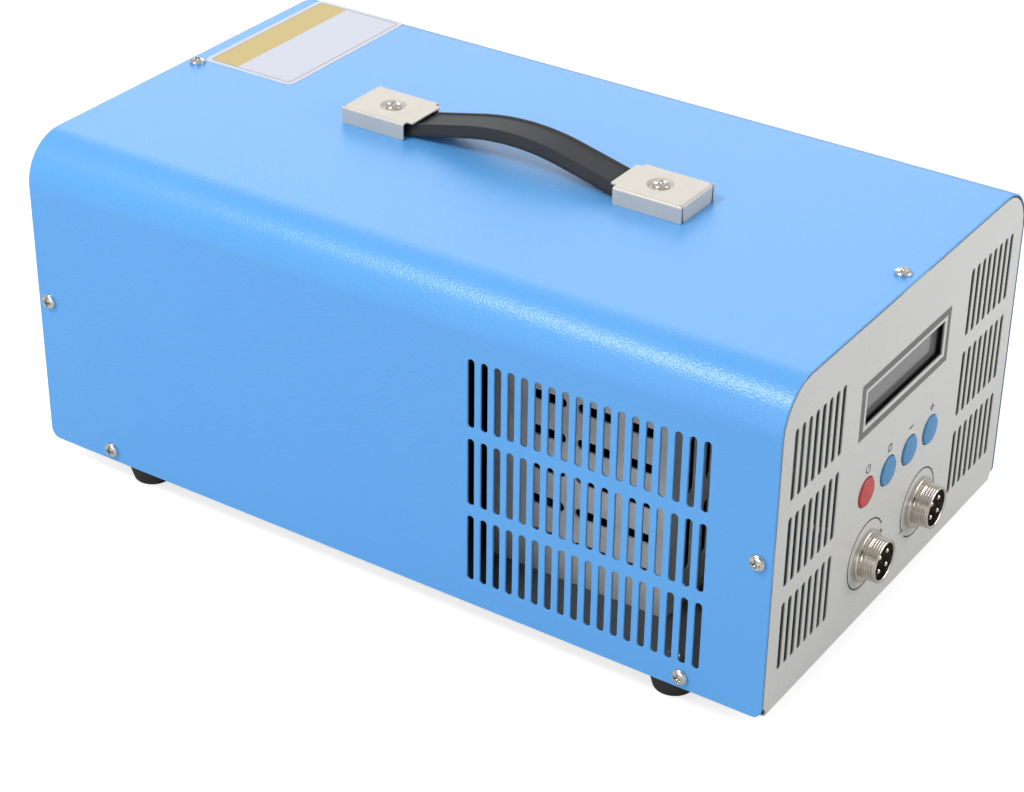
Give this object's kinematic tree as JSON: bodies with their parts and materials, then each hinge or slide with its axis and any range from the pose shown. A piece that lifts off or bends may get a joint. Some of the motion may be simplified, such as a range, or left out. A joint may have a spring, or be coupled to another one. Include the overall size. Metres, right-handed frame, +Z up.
{
  "type": "battery capacity tester",
  "caption": "Bench battery tester: folded steel case with carrying strap, front panel with display, push buttons and threaded power sockets, rear fan, mains inlet and signal socket.",
  "frame": {"origin": "on the table, under the middle of the whole object", "axes": "+Z up; the front panel faces -Y; +X is to the right of someone facing the panel"},
  "size_m": [0.2096, 0.3696, 0.1667],
  "materials": {
    "blue_powder_coat": "fine-textured powder coat, satin",
    "grey_powder_coat": "light warm grey powder coat, matt",
    "nickel_plate": "bright nickel plating",
    "zinc_plate": "zinc-plated steel",
    "galvanised_sheet": "galvanised sheet, satin",
    "black_rubber": "moulded rubber",
    "strap_plastic": "grained soft plastic",
    "black_plastic": "moulded plastic",
    "red_button_plastic": "moulded plastic, satin",
    "blue_button_plastic": "moulded plastic, satin",
    "black_frame_steel": "black painted steel",
    "display_glass": "display glass with polariser",
    "white_plastic": "white diffuser",
    "board_green": "solder-masked circuit board",
    "gold_plate": "gold-plated contact",
    "brass": "turned brass",
    "aluminium": "extruded, plain",
    "relay_blue": "moulded plastic",
    "capacitor_sleeve": "shrink sleeve",
    "resistance_alloy": "rolled alloy strip",
    "fuse_glass": "glass tube with metal ends"
  },
  "bodies": {
    "case": {"cover": "blue_powder_coat", "chassis": "grey_powder_coat", "feet": "black_rubber", "foot_screws": "zinc_plate", "nuts": "zinc_plate", "case_screws": "nickel_plate", "strap": "strap_plastic", "cap_front": "nickel_plate", "cap_rear": "nickel_plate", "handle_screws": "nickel_plate", "lcd_frame": "black_frame_steel", "lcd_glass": "display_glass", "lcd_backlight": "white_plastic", "lcd_board": "board_green", "lcd_header": "black_plastic", "display_board": "board_green", "display_studs": "zinc_plate", "display_screws": "zinc_plate", "key_switches": "black_plastic", "socket_left": "nickel_plate", "socket_right": "nickel_plate", "socket_cores": "black_plastic", "socket_pins": "gold_plate", "socket_nuts": "zinc_plate", "signal_socket": "nickel_plate", "signal_core": "black_plastic", "signal_pins": "gold_plate", "signal_nut": "zinc_plate", "supply_case": "galvanised_sheet", "supply_lid": "galvanised_sheet", "supply_board": "board_green", "supply_parts": "black_plastic", "supply_fan_frame": "black_plastic", "control_board": "board_green", "control_pillars": "brass", "control_relays": "relay_blue", "control_capacitors": "capacitor_sleeve", "heat_sink": "aluminium", "transistors": "black_plastic", "load_pillars": "brass", "load_board": "board_green", "load_capacitors": "capacitor_sleeve", "load_shunt": "resistance_alloy", "fan_frame": "black_plastic", "fan_guard": "nickel_plate", "fan_screws": "zinc_plate", "inlet_body": "black_plastic", "inlet_pins": "gold_plate", "inlet_screws": "zinc_plate", "inlet_nuts": "zinc_plate"},
    "on_button": {"button_on": "red_button_plastic"},
    "set_button": {"button_set": "blue_button_plastic"},
    "minus_button": {"button_minus": "blue_button_plastic"},
    "plus_button": {"button_plus": "blue_button_plastic"},
    "rear_fan_rotor": {"fan_rotor": "black_plastic"},
    "supply_fan_rotor": {"supply_rotor": "black_plastic"},
    "mains_rocker": {"rocker": "black_plastic"},
    "drawer": {"fuse_drawer": "black_plastic", "fuse": "fuse_glass"}
  },
  "joints": [
    {"name": "on_button_press", "type": "slide", "parent": "case", "child": "on_button", "axis": [0, 1, 0], "range_m": [0, 0.0005], "stiffness_N_per_m": 3000, "springref_m": -0.0002},
    {"name": "set_button_press", "type": "slide", "parent": "case", "child": "set_button", "axis": [0, 1, 0], "range_m": [0, 0.0005], "stiffness_N_per_m": 3000, "springref_m": -0.0002},
    {"name": "minus_button_press", "type": "slide", "parent": "case", "child": "minus_button", "axis": [0, 1, 0], "range_m": [0, 0.0005], "stiffness_N_per_m": 3000, "springref_m": -0.0002},
    {"name": "plus_button_press", "type": "slide", "parent": "case", "child": "plus_button", "axis": [0, 1, 0], "range_m": [0, 0.0005], "stiffness_N_per_m": 3000, "springref_m": -0.0002},
    {"name": "rear_fan_spin", "type": "hinge", "parent": "case", "child": "rear_fan_rotor", "pos_m": [-0.038, 0, 0.072], "axis": [0, 1, 0], "continuous": true},
    {"name": "supply_fan_spin", "type": "hinge", "parent": "case", "child": "supply_fan_rotor", "pos_m": [0, 0, 0.0572], "axis": [0, 1, 0], "continuous": true},
    {"name": "mains_switch_rock", "type": "hinge", "parent": "case", "child": "mains_rocker", "pos_m": [0.055, 0.176, 0.1086], "axis": [1, 0, 0], "range_deg": [0, 18]},
    {"name": "fuse_drawer_slide", "type": "slide", "parent": "case", "child": "drawer", "axis": [0, 1, 0], "range_m": [0, 0.01]}
  ]
}
